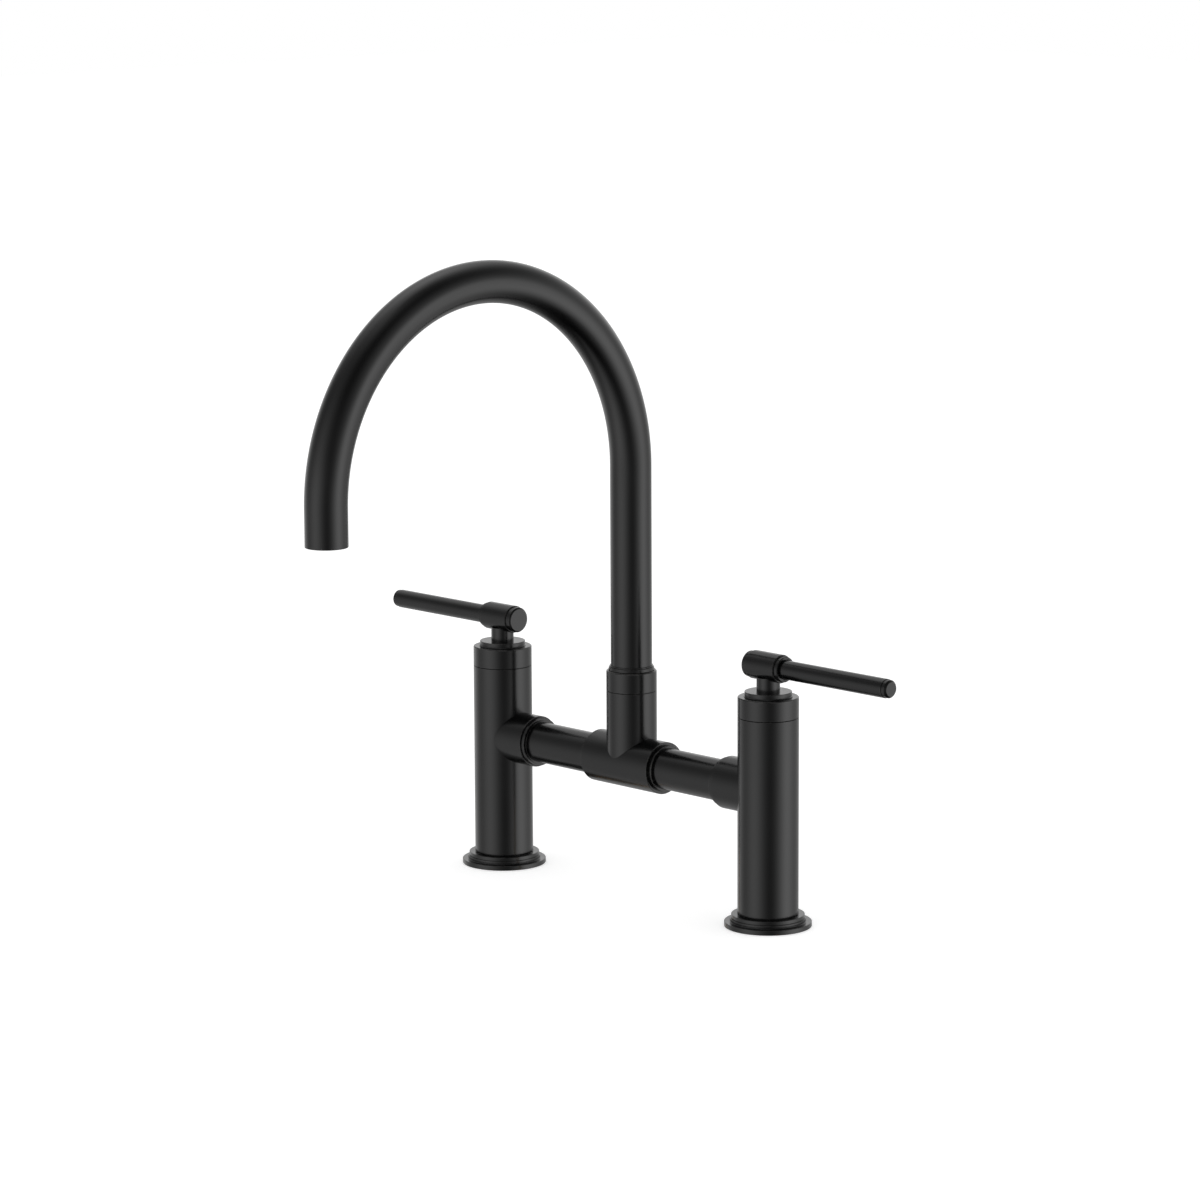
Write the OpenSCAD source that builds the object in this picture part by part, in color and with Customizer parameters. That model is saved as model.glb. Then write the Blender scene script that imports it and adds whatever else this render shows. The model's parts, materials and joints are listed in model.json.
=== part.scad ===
// Bridge kitchen mixer tap: two posts with quarter-turn valves, a bridge with a tee and a swivelling spout.
// The origin lies on the deck, midway between the posts. X runs from the left post to the right one,
// -Y points to the user and Z points up. Pieces of a post are drawn with X pointing away from the spout.

/* [Layout] */
// Distance between the axes of the two posts
centres = 203.2; // [190:0.1:220]
// Height of the bridge axis above the deck
bridge_h = 71.56; // [66:0.01:76]

/* [Base flanges] */
// Diameter of the lower step of a base flange
flange_d = 45.7; // [43:0.1:60]
// Height of the lower step of a base flange
flange_h = 2.35; // [2:0.05:5]
// Diameter of the upper step of a base flange
tier_d = 39.6; // [36:0.1:42]
// Height of the upper step of a base flange
tier_h = 3.6; // [2.5:0.1:6]
// Height of the fine line round the upper step, above the lower one
tier_line_h = 1.15; // [0.8:0.05:1.6]
// Outer diameter of the gasket under a base flange
gasket_d = 41.0; // [36:0.1:42]
// Thickness of the gasket under a base flange
gasket_t = 1.4; // [1:0.1:2]

/* [Posts] */
// Diameter of a post and its cap
post_d = 31.75; // [31:0.05:34]
// Height of a post above its base flange
post_h = 104.25; // [100:0.05:112]
// Height of the cap on a post
cap_h = 10.9; // [10:0.1:14]
// Depth of the shadow grooves at the foot of a post and under a cap
groove_in = 0.6; // [0.3:0.1:0.8]
// Height of those shadow grooves
groove_h = 0.45; // [0.3:0.05:0.8]
// Diameter of the water passage up a post
water_d = 13.0; // [10:0.1:14]
// Bevel on the outer edges of turned pieces
bevel = 0.35; // [0.2:0.05:0.5]
// Bevel round the face of the hub's cap and of the lever's button
face_bevel = 0.5; // [0.3:0.05:0.7]

/* [Bridge] */
// Outer diameter of a bridge pipe
pipe_d = 21.85; // [21:0.05:22.6]
// Wall of a bridge pipe
pipe_wall = 1.5; // [1:0.1:2]
// Diameter of the barrels on the posts and of the tee
barrel_d = 27.8; // [27.4:0.1:29]
// Distance from a post axis to the end of its barrel
branch_reach = 28.5; // [27:0.1:34]
// Distance from the spout axis to each end of the tee
tee_reach = 25.1; // [24:0.1:30]
// Depth of the pipe in each barrel
pipe_in = 12.5; // [12.2:0.1:13.5]
// Diameter of the threaded ring in the end of a post's barrel
branch_ring_d = 26.2; // [25.8:0.1:26.8]
// Diameter of the threaded ring in each end of the tee
tee_ring_d = 24.7; // [24.6:0.1:26]
// Height that a threaded ring stands out of its barrel
ring_w = 2.2; // [1:0.1:4]
// Bore that carries water from a post to the spout
branch_bore = 16.0; // [12:0.1:17]

/* [Spout] */
// Diameter of the upright of the tee and of the collar on it
riser_d = 26.85; // [26.8:0.05:27.6]
// Outer diameter of the spout tube
tube_d = 21.9; // [21.5:0.05:22.1]
// Wall of the spout tube
tube_wall = 1.6; // [1.2:0.1:2]
// Height of the collar that holds the spout down
collar_h = 11.1; // [10:0.1:14]
// Straight length of the spout between the collar and the bend
rise = 109.4; // [60:0.1:160]
// Radius of the bend, at the centre of the tube
bend_r = 104.64; // [80:0.01:120]
// Straight length of the spout after the bend
outlet_l = 19.4; // [18.9:0.1:60]
// Diameter of the ring that turns with the spout on top of the collar
spout_ring_d = 24.1; // [23.3:0.1:25]
// Height of that ring
spout_ring_h = 1.8; // [1.5:0.05:4]

/* [Handles] */
// Diameter of the disc under the handle
disc_d = 24.6; // [20:0.1:28]
// Height of that disc
disc_h = 2.1; // [1.5:0.1:4]
// Diameter of the neck between the disc and the hub
neck_d = 12.2; // [11.8:0.1:13]
// Height of the lever axis above the disc
lever_h = 13.08; // [12.6:0.01:18]
// Diameter of the hub
hub_d = 14.8; // [14.2:0.1:15.6]
// Length of the hub's barrel
hub_l = 20.1; // [18:0.1:26]
// Diameter of the cap on the inner end of the hub
hub_cap_d = 13.6; // [11.4:0.1:14]
// Diameter of the collar round the lever
lever_collar_d = 13.2; // [11.6:0.1:14]
// Height that the hub's cap and collar stand out of its ends
hub_ring_w = 2.38; // [1:0.01:4]
// Diameter of the lever
lever_d = 9.9; // [9.1:0.05:10.1]
// Distance from the post axis to the end of the lever rod
lever_reach = 83.2; // [50:0.1:120]
// Diameter of the button in the tip of the lever
tip_d = 9.3; // [6:0.1:9.5]
// Height that the tip button stands out of the rod
tip_w = 2.1; // [1:0.1:4]

/* [Valves] */
// Diameter of the chamber in a post that holds the valve
chamber_d = 19.2; // [18.8:0.1:20]
// Diameter of the ceramic discs
ceramic_d = 16.4; // [15.6:0.1:16.6]
// Thickness of each ceramic disc
ceramic_t = 3.0; // [2.5:0.1:3.4]
// Angle that each port in the ceramic discs spans
port_angle = 78; // [50:1:84]
// Diameter of the spindle
spindle_d = 8.0; // [7:0.1:8.4]
// Teeth of the spline on the spindle
spline_teeth = 20; // [12:2:28]
// Width of the valve's hexagon across its flats
valve_hex = 22.0; // [20:0.1:22.3]

/* [Aerator] */
// Outer diameter of the aerator housing
aerator_d = 15.9; // [15:0.1:16.2]
// Height of the aerator housing
aerator_h = 10.4; // [8:0.1:11]
// Distance between the jets of the aerator
jet_pitch = 1.7; // [1.5:0.05:2.4]
// Width of one jet across its flats
jet_w = 1.25; // [0.8:0.05:1.3]

/* [Under the deck] */
// Thread diameter of the shanks and inlets
shank_d = 20.96; // [20:0.01:22]
// Bore of the shanks
shank_bore = 15.0; // [12:0.1:16]
// Thickness of the deck that the tap is clamped to
deck_t = 30.0; // [5:0.5:45]
// Height of a lock nut
nut_h = 8.0; // [5:0.5:12]
// Width of a lock nut across its flats
nut_w = 30.0; // [27:0.5:36]
// Length of thread left free below each nut for the supply hose
inlet_l = 17.5; // [14:0.5:30]

/* [Fits] */
// Radial clearance of a piece that turns in another
run_fit = 0.05; // [0.02:0.01:0.08]
// Radial clearance of a screwed or slid-in piece
seat_fit = 0.05; // [0.02:0.01:0.08]
// Gap between a turning piece and the fixed one below it
turn_gap = 0.3; // [0.2:0.05:0.5]
// Depth of the grooves for the O-rings
oring_in = 1.75; // [1.5:0.05:1.9]

/* [Hidden] */
$fn = 96;
black = "#26282a";
brass = "#c8a24a";
steel = "#b8bcc0";
rubber_black = "#1c1c1c";
nylon = "#e8e6de";
ceramic = "#efeae0";

// Levels on a post, from the deck up
base_top = flange_h + tier_h;
post_top = base_top + post_h;
cap_top = post_top + cap_h;
disc_z = cap_top + turn_gap;
neck_z = disc_z + disc_h;
lever_z = neck_z + lever_h;

// The shank screws into the foot of the post
shank_in = 20.05;
shank_top = base_top + shank_in;
rubber_t = 2.5;
steel_t = 1.5;
nut_top = -deck_t - rubber_t - steel_t;
nut_bottom = nut_top - nut_h;
relief_w = 1.5;
relief_in = 0.5;
relief_from_nut = 1;
relief_z = nut_bottom - relief_from_nut;
shank_bottom = relief_z - relief_w - inlet_l;
nut_bevel = 1.2;
washer_fit = 0.2;
rubber_r = 19;
washer_r = 18;
gasket_in = 12.5;
foot_h = 0.75;
tier_line_w = 0.3;
tier_line_in = 0.25;

// The valve stands on a seat just below the bridge axis
seat_z = bridge_h - 13.56;
seal_t = 2.4;
fixed_z = seat_z + seal_t;
moving_z = fixed_z + ceramic_t;
drive_z = moving_z + ceramic_t;
drive_t = 3;
window_bottom = drive_z + drive_t;
window_top = bridge_h + 6.4;
body_roof = window_top + 1;
body_r = chamber_d / 2 - 0.1;
body_wall = 1.2;
body_bore = body_r - body_wall;
valve_thread_r = 11.35;
valve_thread_h = 9;
hex_h = 7;
hex_z = post_top - 9.2;
thread_z = hex_z - valve_thread_h;
hex_room = 0.3;
stub_r = 9;
stub_top = post_top + 6.8;
cap_plate = 2.5;
cap_round = 0.6;
oring_h = 2.4;
body_oring_z = window_top + 6;
spindle_oring_z = hex_z - 1;
spindle_oring_in = 1.4;
spindle_groove_h = 2;
clip_t = 1;
clip_gap = 0.05;
clip_r = 6;
clip_in = 0.75;
clip_mouth = 30;
port_in = 2;
port_rim = 1.6;
window_angle = 90;
dog_w = 2.6;
dog_h = 1.6;
dog_reach = 4.6;
dog_fit = 0.05;

// The handle slides over the splined end of the spindle and a grub screw holds it
disc_round = 0.4;
spline_r = spindle_d / 2 - 0.1;
spline_depth = 0.5;
spline_fit = 0.1;
socket_roof = 1.4;
hub_floor = lever_z - lever_d / 2 - 0.45;
socket_top = hub_floor - socket_roof;
spline_top = socket_top - 0.4;
screw_z = disc_z + 5;
screw_r = 1.75;
screw_seat_r = 3;
screw_waist = 3.8;
screw_key = 1.7;
screw_key_in = 1.4;
screw_below_face = 0.2;
cap_tail = 3;
tail_fit = 0.05;
rod_bevel = 0.2;
tip_tail_r = 2.4;
tip_tail = 5;

// Each pipe end stands on a shoulder in its barrel, behind an O-ring and a threaded ring
ring_thread_r = 12.25;
ring_tail = 5.9;
ring_room = 0.1;
ring_lip_r = 11.95;
ring_lip_w = 0.6;
pipe_oring_from_end = 2;
pipe_r = pipe_d / 2;
pipe_bore_r = pipe_r + seat_fit;
barrel_r = barrel_d / 2;
branch_shoulder = branch_reach - pipe_in;
tee_shoulder = tee_reach - pipe_in;

// The spout's stem turns in the tee, and the collar screws down over the stem's flange
tee_top = post_top;
tube_r = tube_d / 2;
riser_r = riser_d / 2;
collar_top = tee_top + collar_h;
collar_thread_r = 12.2;
collar_thread_h = 5.2;
collar_fit = 0.3;
collar_round = 0.8;
bush_z = tee_top + 1.3;
bush_r = tube_r + run_fit + 0.92;
bush_below_top = 0.3;
stem_r = 9.9;
stem_flange_h = 3.5;
stem_flange_r = 11.95;
stem_bore_r = 6.5;
stem_plug = 9.1;
glide_t = 0.9;
glide_r = 12.15;
glide_room = 0.1;
glide_gap = 0.05;
flange_top = tee_top - collar_thread_h - glide_t - 2 * glide_gap;
flange_z = flange_top - stem_flange_h;
tee_floor = flange_z - glide_t;
stem_bottom = tee_floor - 17.5;
stem_room_z = stem_bottom - 2;
riser_bore = 16;
spout_ring_z = collar_top + turn_gap;
spout_ring_round = 0.55;
bend_z = collar_top + rise;
outlet_z = bend_z - outlet_l;
tube_bore_r = tube_r - tube_wall;

// The aerator screws into a brazed sleeve and is recessed in the outlet
aerator_recess = 0.95;
sleeve_recess = 1.6;
aerator_z = outlet_z + aerator_recess;
aerator_top = aerator_z + aerator_h;
washer_t = 1.5;
sleeve_z = outlet_z + sleeve_recess;
sleeve_lip_z = aerator_top + washer_t;
sleeve_lip_h = 3.4;
sleeve_lip_r = 6.6;
aerator_r = aerator_d / 2;
aerator_bore_r = aerator_r - 0.95;
aerator_lip = 1;
aerator_lip_r = aerator_bore_r - 0.8;
key_slots = 4;
key_w = 2;
key_in = 1.2;
jet_rows = 4;
jet_field = aerator_lip_r - jet_w / sqrt(3) - 0.3;

// Piece turned from half an outline: radius outwards and height upwards
module turned(points) {
  rotate_extrude() polygon(points);
}

// Ring from z0 to z1 between two radii
module ring(inner, outer, z0, z1) {
  translate([0, 0, z0]) difference() {
    cylinder(r = outer, h = z1 - z0);
    translate([0, 0, -1]) cylinder(r = inner, h = z1 - z0 + 2);
  }
}

// Disc from z0 to z1 with its upper edge beveled
module beveled(r, z0, z1, b = bevel) {
  turned([[0, z0], [r, z0], [r, z1 - b], [r - b, z1], [0, z1]]);
}

// Disc from z0 to z1 with its upper edge rounded
module rounded(r, z0, z1, f) {
  rotate_extrude() {
    translate([0, z0]) square([r, z1 - z0 - f]);
    translate([0, z0]) square([r - f, z1 - z0]);
    translate([r - f, z1 - f]) circle(r = f);
  }
}

// O-ring that lies in a groove between two radii
module oring(inner, outer) {
  skin = 0.01;
  rotate_extrude() translate([(inner + outer) / 2, 0]) circle(r = (outer - inner) / 2 - skin);
}

// Two opposite sectors between two radii, centred on the X axis
module sector_pair(inner, outer, angle, z0, z1) {
  for (turn = [0, 180]) {
    rotate([0, 0, turn - angle / 2]) translate([0, 0, z0])
      rotate_extrude(angle = angle) translate([inner, 0]) square([outer - inner, z1 - z0]);
  }
}

// Star-shaped outline of a spline
module spline_outline(r) {
  polygon([for (i = [0 : 2 * spline_teeth - 1])
    let (here = r - (i % 2) * spline_depth, a = 180 * i / spline_teeth)
    [here * cos(a), here * sin(a)]]);
}

// Hexagonal prism given by its width across flats
module hexagon(flats, h) {
  cylinder(r = flats / sqrt(3), h = h, $fn = 6);
}

// Puts a piece drawn with X pointing away from the spout on the right (1) or the left (-1) post
module at_post(side) {
  translate([side * centres / 2, 0, 0]) mirror([side < 0 ? 1 : 0, 0, 0]) children();
}

module at_posts() {
  for (side = [-1, 1]) at_post(side) children();
}

// Repeats a piece of the tee's right end on its left end
module at_tee_ends() {
  for (side = [-1, 1]) mirror([side < 0 ? 1 : 0, 0, 0]) children();
}

// Lays an upright piece along X at height z
module along_x(z) {
  translate([0, 0, z]) rotate([0, 90, 0]) children();
}

// Lays an upright piece along -X at height z
module against_x(z) {
  translate([0, 0, z]) rotate([0, -90, 0]) children();
}

module escutcheon() {
  line_z = flange_h + tier_line_h;
  color(black) difference() {
    union() {
      beveled(flange_d / 2, 0, flange_h);
      beveled(tier_d / 2, flange_h, base_top);
    }
    translate([0, 0, -1]) cylinder(r = shank_d / 2 + washer_fit, h = base_top + 2);
    translate([0, 0, -1]) cylinder(d = gasket_d, h = gasket_t + 1);
    ring(tier_d / 2 - tier_line_in, tier_d / 2 + 1, line_z - tier_line_w / 2, line_z + tier_line_w / 2);
  }
}

module base_gasket() {
  color(rubber_black) ring(gasket_in, gasket_d / 2 - seat_fit, 0, gasket_t);
}

module post() {
  color(black) difference() {
    union() {
      translate([0, 0, base_top]) cylinder(r = post_d / 2 - groove_in, h = post_h);
      translate([0, 0, base_top + foot_h]) cylinder(d = post_d, h = post_h - foot_h);
      against_x(bridge_h) beveled(barrel_r, 0, branch_reach);
    }
    translate([0, 0, base_top - 1]) cylinder(r = shank_d / 2 + seat_fit, h = shank_in + 1);
    translate([0, 0, base_top]) cylinder(d = water_d, h = post_h);
    translate([0, 0, seat_z]) cylinder(d = chamber_d, h = post_top - seat_z);
    translate([0, 0, thread_z]) cylinder(r = valve_thread_r + seat_fit, h = post_top - thread_z);
    translate([0, 0, hex_z]) cylinder(r = valve_hex / sqrt(3) + hex_room, h = post_top - hex_z + 1);
    against_x(bridge_h) cylinder(d = branch_bore, h = branch_reach);
    against_x(bridge_h) barrel_mouth(branch_shoulder, branch_reach);
  }
}

// Pipe socket, O-ring groove and ring thread in the end of a barrel
module barrel_mouth(shoulder, end) {
  translate([0, 0, shoulder]) cylinder(r = pipe_bore_r, h = pipe_in + 1);
  translate([0, 0, shoulder + pipe_oring_from_end]) cylinder(r = pipe_r + oring_in, h = oring_h);
  translate([0, 0, end - ring_tail - ring_room])
    cylinder(r = ring_thread_r + seat_fit, h = ring_tail + ring_room + 1);
}

// A short relief parts the thread for the lock nut from the thread for the supply hose
module shank() {
  r = shank_d / 2;
  color(brass) difference() {
    turned([
      [0, shank_bottom], [r - bevel, shank_bottom], [r, shank_bottom + bevel],
      [r, relief_z - relief_w], [r - relief_in, relief_z - relief_w], [r - relief_in, relief_z],
      [r, relief_z], [r, shank_top - bevel], [r - bevel, shank_top], [0, shank_top]
    ]);
    translate([0, 0, shank_bottom - 1]) cylinder(d = shank_bore, h = shank_top - shank_bottom + 2);
  }
}

module rubber_washer() {
  color(rubber_black) ring(shank_d / 2 + washer_fit, rubber_r, nut_top + steel_t, -deck_t);
}

module steel_washer() {
  color(steel) ring(shank_d / 2 + washer_fit, washer_r, nut_top, nut_top + steel_t);
}

module lock_nut() {
  corner = nut_w / sqrt(3);
  color(brass) difference() {
    intersection() {
      translate([0, 0, nut_bottom]) hexagon(nut_w, nut_h);
      turned([
        [0, nut_bottom], [nut_w / 2, nut_bottom], [corner, nut_bottom + nut_bevel],
        [corner, nut_top], [0, nut_top]
      ]);
    }
    translate([0, 0, nut_bottom - 1]) cylinder(r = shank_d / 2 + seat_fit, h = nut_h + 2);
  }
}

// The cap screws onto the stub of the valve and closes the post
module cap() {
  color(black) difference() {
    union() {
      translate([0, 0, post_top]) cylinder(r = post_d / 2 - groove_in, h = groove_h);
      rounded(post_d / 2, post_top + groove_h, cap_top, cap_round);
    }
    translate([0, 0, post_top - 1]) cylinder(r = stub_r + seat_fit, h = cap_h - cap_plate + 1);
    translate([0, 0, post_top]) cylinder(r = spindle_d / 2 + turn_gap, h = cap_h + 1);
  }
}

module valve_body() {
  groove_r = chamber_d / 2 - oring_in;
  color(brass) difference() {
    union() {
      turned([
        [0, fixed_z], [body_r, fixed_z], [body_r, body_oring_z], [groove_r, body_oring_z],
        [groove_r, body_oring_z + oring_h], [body_r, body_oring_z + oring_h], [body_r, thread_z],
        [valve_thread_r, thread_z], [valve_thread_r, hex_z], [0, hex_z]
      ]);
      translate([0, 0, hex_z]) hexagon(valve_hex, hex_h);
      beveled(stub_r, hex_z, stub_top);
    }
    translate([0, 0, fixed_z - 1]) cylinder(r = body_bore, h = body_roof - fixed_z + 1);
    translate([0, 0, fixed_z]) cylinder(r = spindle_d / 2 + run_fit, h = stub_top - fixed_z + 1);
    sector_pair(body_bore - 1, body_r + 1, window_angle, window_bottom, window_top);
  }
}

module seat_seal() {
  color(rubber_black) ring(water_d / 2 + 0.1, body_r, seat_z, fixed_z);
}

module valve_oring() {
  color(rubber_black) translate([0, 0, body_oring_z + oring_h / 2])
    oring(chamber_d / 2 - oring_in, chamber_d / 2);
}

module fixed_disc() {
  color(ceramic) difference() {
    translate([0, 0, fixed_z]) cylinder(d = ceramic_d, h = ceramic_t);
    sector_pair(port_in, ceramic_d / 2 - port_rim, port_angle, fixed_z - 1, moving_z + 1);
  }
}

// At rest the open sectors of this disc lie across the ports of the fixed one, so the valve is shut
module moving_disc() {
  color(ceramic) difference() {
    translate([0, 0, moving_z]) cylinder(d = ceramic_d, h = ceramic_t);
    rotate([0, 0, 90]) sector_pair(port_in, ceramic_d, port_angle, moving_z - 1, drive_z + 1);
    drive_dogs(dog_fit);
  }
}

// Two dogs that drop from the spindle's flange into the moving disc
module drive_dogs(clear) {
  w = dog_w + 2 * clear;
  for (side = [-1, 1]) {
    translate([side * dog_reach - w / 2, -w / 2, drive_z - dog_h - clear]) cube([w, w, dog_h + clear + 1]);
  }
}

module spindle() {
  r = spindle_d / 2;
  groove_r = r + run_fit - spindle_oring_in;
  groove_top = spindle_oring_z + spindle_groove_h;
  clip_top = stub_top + clip_t + 2 * clip_gap;
  color(brass) difference() {
    union() {
      turned([
        [0, drive_z], [r, drive_z], [r, spindle_oring_z], [groove_r, spindle_oring_z],
        [groove_r, groove_top], [r, groove_top], [r, stub_top], [r - clip_in, stub_top],
        [r - clip_in, clip_top], [r, clip_top], [r, disc_z], [0, disc_z]
      ]);
      translate([0, 0, drive_z]) cylinder(d = ceramic_d, h = drive_t);
      translate([0, 0, disc_z]) linear_extrude(spline_top - disc_z) spline_outline(spline_r);
      drive_dogs(0);
    }
    rotate([0, 0, 90]) sector_pair(r, ceramic_d, port_angle, drive_z - 1, drive_z + drive_t + 1);
    ring(screw_seat_r, r + 1, screw_z - screw_waist / 2, screw_z + screw_waist / 2);
  }
}

module spindle_oring() {
  r = spindle_d / 2 + run_fit;
  color(rubber_black) translate([0, 0, spindle_oring_z + spindle_groove_h / 2])
    oring(r - spindle_oring_in, r);
}

module circlip() {
  z = stub_top + clip_gap;
  color(steel) difference() {
    ring(spindle_d / 2 - clip_in + clip_gap, clip_r, z, z + clip_t);
    translate([0, 0, z - 1]) rotate([0, 0, 90 - clip_mouth / 2])
      rotate_extrude(angle = clip_mouth) square([clip_r + 1, clip_t + 2]);
  }
}

// Disc and neck in one piece, pushed onto the spline; its top stands in the underside of the hub
module handle_base() {
  color(black) difference() {
    union() {
      rounded(disc_d / 2, disc_z, neck_z, disc_round);
      translate([0, 0, disc_z]) cylinder(d = neck_d, h = hub_floor - disc_z);
    }
    translate([0, 0, disc_z - 1]) linear_extrude(socket_top - disc_z + 1)
      spline_outline(spline_r + spline_fit);
    from_behind() cylinder(r = screw_r + seat_fit, h = neck_d);
  }
}

// Turns an upright piece to point from the spindle to the back, at the height of the grub screw
module from_behind() {
  translate([0, 0, screw_z]) rotate([-90, 0, 0]) children();
}

module handle_screw() {
  start = screw_seat_r + seat_fit;
  end = neck_d / 2 - screw_below_face;
  color(steel) from_behind() difference() {
    translate([0, 0, start]) cylinder(r = screw_r, h = end - start);
    translate([0, 0, end - screw_key_in]) hexagon(screw_key, screw_key_in + 1);
  }
}

module hub() {
  r = hub_d / 2;
  end = hub_l / 2;
  color(black) difference() {
    along_x(lever_z) turned([
      [0, -end], [r - bevel, -end], [r, bevel - end], [r, end - bevel], [r - bevel, end], [0, end]
    ]);
    along_x(lever_z) translate([0, 0, -hub_l]) cylinder(r = lever_d / 2 + seat_fit, h = 2 * hub_l);
    translate([0, 0, neck_z]) cylinder(r = neck_d / 2 + seat_fit, h = hub_floor - neck_z);
  }
}

module hub_cap() {
  end = hub_l / 2;
  color(black) against_x(lever_z) union() {
    beveled(hub_cap_d / 2, end, end + hub_ring_w, face_bevel);
    translate([0, 0, end - cap_tail]) cylinder(r = lever_d / 2 - tail_fit, h = cap_tail);
  }
}

module lever_collar() {
  color(black) along_x(lever_z) difference() {
    beveled(lever_collar_d / 2, hub_l / 2, hub_l / 2 + hub_ring_w);
    cylinder(r = lever_d / 2 + seat_fit, h = hub_l);
  }
}

module lever() {
  color(black) along_x(lever_z) difference() {
    beveled(lever_d / 2, cap_tail + 2 * tail_fit - hub_l / 2, lever_reach, rod_bevel);
    translate([0, 0, lever_reach - tip_tail - tail_fit])
      cylinder(r = tip_tail_r + tail_fit, h = tip_tail + 1);
  }
}

module lever_tip() {
  color(black) along_x(lever_z) union() {
    beveled(tip_d / 2, lever_reach, lever_reach + tip_w, face_bevel);
    translate([0, 0, lever_reach - tip_tail]) cylinder(r = tip_tail_r, h = tip_tail);
  }
}

module bridge_pipe() {
  end = centres / 2 - tee_shoulder;
  color(black) against_x(bridge_h) ring(pipe_r - pipe_wall, pipe_r, branch_shoulder, end);
}

module branch_ring() {
  lip_end = branch_reach + ring_w + ring_lip_w;
  color(black) against_x(bridge_h) difference() {
    union() {
      translate([0, 0, branch_reach - ring_tail]) cylinder(r = ring_thread_r, h = ring_tail);
      beveled(branch_ring_d / 2, branch_reach, branch_reach + ring_w);
      translate([0, 0, branch_reach]) cylinder(r = ring_lip_r, h = lip_end - branch_reach);
    }
    translate([0, 0, branch_shoulder]) cylinder(r = pipe_bore_r, h = lip_end);
  }
}

module tee_ring() {
  color(black) along_x(bridge_h) difference() {
    union() {
      translate([0, 0, tee_reach - ring_tail]) cylinder(r = ring_thread_r, h = ring_tail);
      beveled(tee_ring_d / 2, tee_reach, tee_reach + ring_w);
    }
    translate([0, 0, tee_shoulder]) cylinder(r = pipe_bore_r, h = tee_reach);
  }
}

module tee() {
  color(black) difference() {
    union() {
      at_tee_ends() along_x(bridge_h) beveled(barrel_r, 0, tee_reach);
      translate([0, 0, bridge_h]) cylinder(r = riser_r, h = tee_top - bridge_h);
    }
    along_x(bridge_h) translate([0, 0, -tee_reach]) cylinder(d = branch_bore, h = 2 * tee_reach);
    at_tee_ends() along_x(bridge_h) barrel_mouth(tee_shoulder, tee_reach);
    translate([0, 0, bridge_h]) cylinder(d = riser_bore, h = tee_top - bridge_h);
    translate([0, 0, stem_room_z]) cylinder(r = stem_r + run_fit, h = tee_top - stem_room_z);
    translate([0, 0, tee_floor]) cylinder(r = collar_thread_r + seat_fit, h = tee_top - tee_floor + 1);
  }
}

module bridge_oring(shoulder) {
  color(rubber_black) translate([0, 0, shoulder + pipe_oring_from_end + oring_h / 2])
    oring(pipe_r, pipe_r + oring_in);
}

module bridge_orings() {
  at_posts() against_x(bridge_h) bridge_oring(branch_shoulder);
  at_tee_ends() along_x(bridge_h) bridge_oring(tee_shoulder);
}

// The collar screws into the tee and holds the stem's flange down between two washers
module spout_collar() {
  color(black) difference() {
    union() {
      translate([0, 0, tee_top - collar_thread_h]) cylinder(r = collar_thread_r, h = collar_thread_h);
      translate([0, 0, tee_top]) cylinder(r = riser_r - groove_in, h = groove_h);
      rounded(riser_r, tee_top + groove_h, collar_top, collar_round);
    }
    translate([0, 0, tee_floor]) cylinder(r = tube_r + collar_fit, h = collar_top);
    translate([0, 0, bush_z]) cylinder(r = bush_r + seat_fit, h = collar_h);
  }
}

module spout_bush() {
  color(nylon) ring(tube_r + run_fit, bush_r, bush_z, collar_top - bush_below_top);
}

module glide_washers() {
  color(nylon) {
    ring(stem_r + glide_room, glide_r, tee_floor, tee_floor + glide_t);
    ring(tube_r + glide_room, glide_r, flange_top + glide_gap, flange_top + glide_gap + glide_t);
  }
}

// Height of the lower edge of each O-ring groove in the stem
function stem_groove(i) = stem_bottom + 3 + 6.5 * i;

// The stem turns in the tee and is brazed into the lower end of the spout tube
module spout_stem() {
  top = flange_top + stem_plug;
  color(brass) difference() {
    union() {
      translate([0, 0, stem_bottom]) cylinder(r = stem_r, h = flange_z - stem_bottom);
      translate([0, 0, flange_z]) cylinder(r = stem_flange_r, h = stem_flange_h);
      beveled(tube_bore_r - seat_fit, flange_top, top);
    }
    for (i = [0, 1]) {
      ring(stem_r + run_fit - oring_in, stem_r + 1, stem_groove(i), stem_groove(i) + oring_h);
    }
    translate([0, 0, stem_bottom - 1]) cylinder(r = stem_bore_r, h = top - stem_bottom + 2);
  }
}

module spout_orings() {
  color(rubber_black) for (i = [0, 1]) {
    translate([0, 0, stem_groove(i) + oring_h / 2]) oring(stem_r + run_fit - oring_in, stem_r + run_fit);
  }
}

module spout_ring() {
  color(black) difference() {
    rounded(spout_ring_d / 2, spout_ring_z, spout_ring_z + spout_ring_h, spout_ring_round);
    translate([0, 0, collar_top]) cylinder(r = tube_r + seat_fit / 2, h = 2 * spout_ring_h);
  }
}

// Puts a piece drawn round the Z axis on the axis of the outlet
module at_outlet() {
  translate([0, -2 * bend_r, 0]) children();
}

// Up from the stem, half a turn over the sink and down to the outlet, with both ends drawn out by past
module spout_path(r, past) {
  translate([0, 0, flange_top - past]) cylinder(r = r, h = bend_z - flange_top + past);
  translate([0, -bend_r, bend_z]) rotate([90, 0, 90])
    rotate_extrude(angle = 180) translate([bend_r, 0]) circle(r = r);
  at_outlet() translate([0, 0, outlet_z - past]) cylinder(r = r, h = outlet_l + past);
}

module spout_tube() {
  color(black) difference() {
    spout_path(tube_r, 0);
    spout_path(tube_bore_r, 1);
    at_outlet() translate([0, 0, outlet_z]) turned([
      [tube_r - bevel, 0], [tube_r + 1, 0], [tube_r + 1, bevel], [tube_r, bevel]
    ]);
  }
}

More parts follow.
